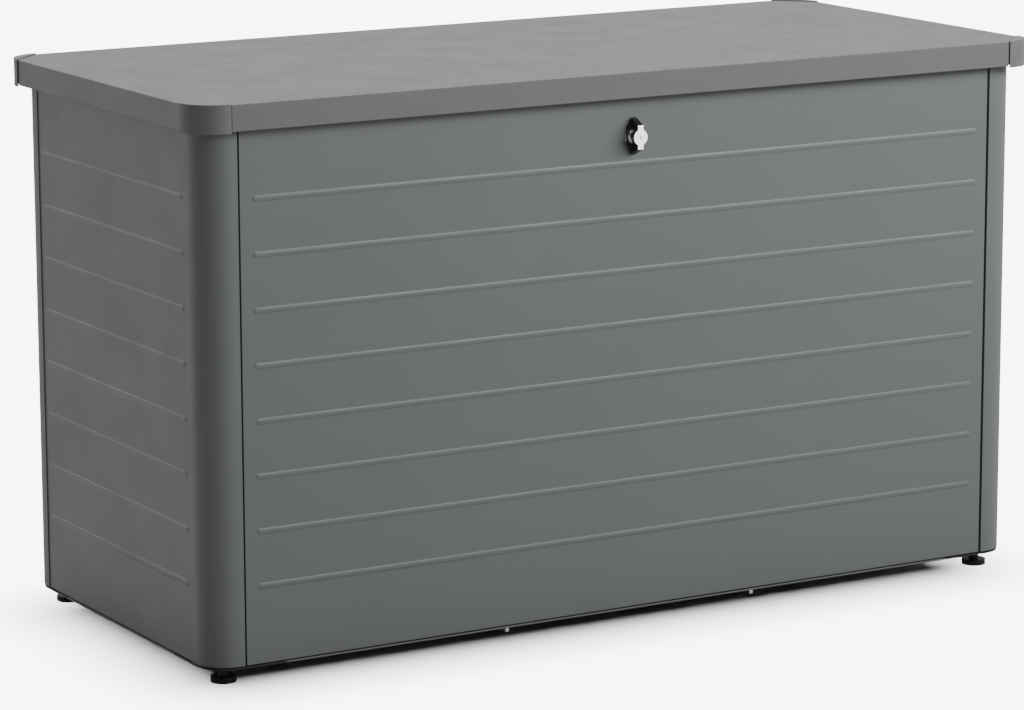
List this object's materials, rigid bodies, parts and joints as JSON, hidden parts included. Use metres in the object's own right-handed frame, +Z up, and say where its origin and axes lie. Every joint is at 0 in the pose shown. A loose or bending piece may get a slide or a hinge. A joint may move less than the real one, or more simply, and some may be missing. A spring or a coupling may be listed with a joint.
{
  "type": "deck storage box",
  "caption": "Sheet-steel garden storage box with beaded walls, rounded corner posts, a gas-strut lid with capped corners, a quarter-turn lock and levelling feet.",
  "frame": {"origin": "centre of the footprint of the bounding box, on the floor under the feet", "axes": "+X along the width to the right seen from the front, +Y to the rear, +Z up; the front with the lock faces -Y"},
  "size_m": [1.543, 0.703, 0.8955],
  "materials": {
    "powder_coat": "satin quartz-grey powder coat",
    "powder_coat_inside": "satin quartz-grey powder coat, inner faces",
    "moulded_grey": "fine-grained grey moulded plastic",
    "black_plastic": "satin black moulded plastic",
    "galvanised_steel": "galvanised sheet with faint spangle",
    "bright_steel": "zinc-plated steel",
    "chromed_zinc": "polished plating",
    "black_lacquer": "gloss black lacquer",
    "black_rubber": "matte extruded rubber"
  },
  "bodies": {
    "carcass": {"base_corner_front_left": "black_plastic", "base_corner_front_right": "black_plastic", "base_corner_rear_left": "black_plastic", "base_corner_rear_right": "black_plastic", "base_rail_front": "powder_coat", "base_rail_left": "powder_coat", "base_rail_rear": "powder_coat", "base_rail_right": "powder_coat", "edge_seals": "black_rubber", "floor_panel": "galvanised_steel", "floor_supports": "galvanised_steel", "foot_nuts": "bright_steel", "front_panel": "powder_coat", "hinge_left_body_leaf": "galvanised_steel", "hinge_pins": "bright_steel", "hinge_right_body_leaf": "galvanised_steel", "left_panel": "powder_coat", "lock_housing": "chromed_zinc", "lock_nut": "bright_steel", "panel_screws": "bright_steel", "post_cap_front_left": "black_plastic", "post_cap_front_right": "black_plastic", "post_cap_rear_left": "black_plastic", "post_cap_rear_right": "black_plastic", "post_front_left": "powder_coat", "post_front_right": "powder_coat", "post_rear_left": "powder_coat", "post_rear_right": "powder_coat", "rear_panel": "powder_coat", "right_panel": "powder_coat", "seam_spacers": "black_plastic", "strut_body_brackets": "galvanised_steel", "top_rail_front": "powder_coat_inside", "top_rail_left": "powder_coat_inside", "top_rail_rear": "powder_coat_inside", "top_rail_right": "powder_coat_inside"},
    "lid": {"lid_panel": "powder_coat", "lid_cap_front_left": "moulded_grey", "lid_cap_front_right": "moulded_grey", "lid_cap_rear_right": "moulded_grey", "lid_cap_rear_left": "moulded_grey", "lid_front_beam": "powder_coat_inside", "lid_stiffeners": "powder_coat_inside", "lid_strike": "bright_steel", "hinge_left_lid_leaf": "galvanised_steel", "hinge_right_lid_leaf": "galvanised_steel", "strut_lid_brackets": "galvanised_steel"},
    "lock_core": {"lock_handle": "black_plastic", "lock_face_plate": "chromed_zinc", "lock_spindle": "bright_steel", "lock_cam": "bright_steel"},
    "key_plug": {"lock_plug": "chromed_zinc"},
    "left_strut_cylinder": {"strut_left_cylinder": "black_lacquer"},
    "left_strut_rod": {"strut_left_rod": "bright_steel"},
    "right_strut_cylinder": {"strut_right_cylinder": "black_lacquer"},
    "right_strut_rod": {"strut_right_rod": "bright_steel"},
    "foot_front_left_body": {"foot_front_left": "black_plastic"},
    "foot_front_right_body": {"foot_front_right": "black_plastic"},
    "foot_rear_right_body": {"foot_rear_right": "black_plastic"},
    "foot_rear_left_body": {"foot_rear_left": "black_plastic"}
  },
  "joints": [
    {"name": "lid_hinge", "type": "hinge", "parent": "carcass", "child": "lid", "pos_m": [0, 0.338, 0.862], "axis": [-1, 0, 0], "range_deg": [0, 65]},
    {"name": "left_strut_tilt", "type": "hinge", "parent": "carcass", "child": "left_strut_cylinder", "pos_m": [-0.711, 0.248, 0.662], "axis": [-1, 0, 0], "range_deg": [0, 19.59]},
    {"name": "left_strut_stroke", "type": "slide", "parent": "left_strut_cylinder", "child": "left_strut_rod", "axis": [0, -0.2403, 0.9707], "range_m": [0, 0.12125]},
    {"name": "right_strut_tilt", "type": "hinge", "parent": "carcass", "child": "right_strut_cylinder", "pos_m": [0.711, 0.248, 0.662], "axis": [-1, 0, 0], "range_deg": [0, 19.59]},
    {"name": "right_strut_stroke", "type": "slide", "parent": "right_strut_cylinder", "child": "right_strut_rod", "axis": [0, -0.2403, 0.9707], "range_m": [0, 0.12125]},
    {"name": "lock_quarter_turn", "type": "hinge", "parent": "carcass", "child": "lock_core", "pos_m": [0, -0.3245, 0.791], "axis": [0, 1, 0], "range_deg": [0, 90]},
    {"name": "key_plug_turn", "type": "hinge", "parent": "lock_core", "child": "key_plug", "pos_m": [0, -0.3475, 0.791], "axis": [0, 1, 0], "range_deg": [0, 90]},
    {"name": "foot_front_left_height", "type": "slide", "parent": "carcass", "child": "foot_front_left_body", "axis": [0, 0, -1], "range_m": [0, 0.015]},
    {"name": "foot_front_right_height", "type": "slide", "parent": "carcass", "child": "foot_front_right_body", "axis": [0, 0, -1], "range_m": [0, 0.015]},
    {"name": "foot_rear_right_height", "type": "slide", "parent": "carcass", "child": "foot_rear_right_body", "axis": [0, 0, -1], "range_m": [0, 0.015]},
    {"name": "foot_rear_left_height", "type": "slide", "parent": "carcass", "child": "foot_rear_left_body", "axis": [0, 0, -1], "range_m": [0, 0.015]}
  ],
  "couplings": [
    {"joint": "left_strut_tilt", "follows": "lid_hinge", "ratio": 0.30141},
    {"joint": "left_strut_stroke", "follows": "lid_hinge", "m_per_rad": 0.10688},
    {"joint": "right_strut_tilt", "follows": "lid_hinge", "ratio": 0.30141},
    {"joint": "right_strut_stroke", "follows": "lid_hinge", "m_per_rad": 0.10688}
  ]
}
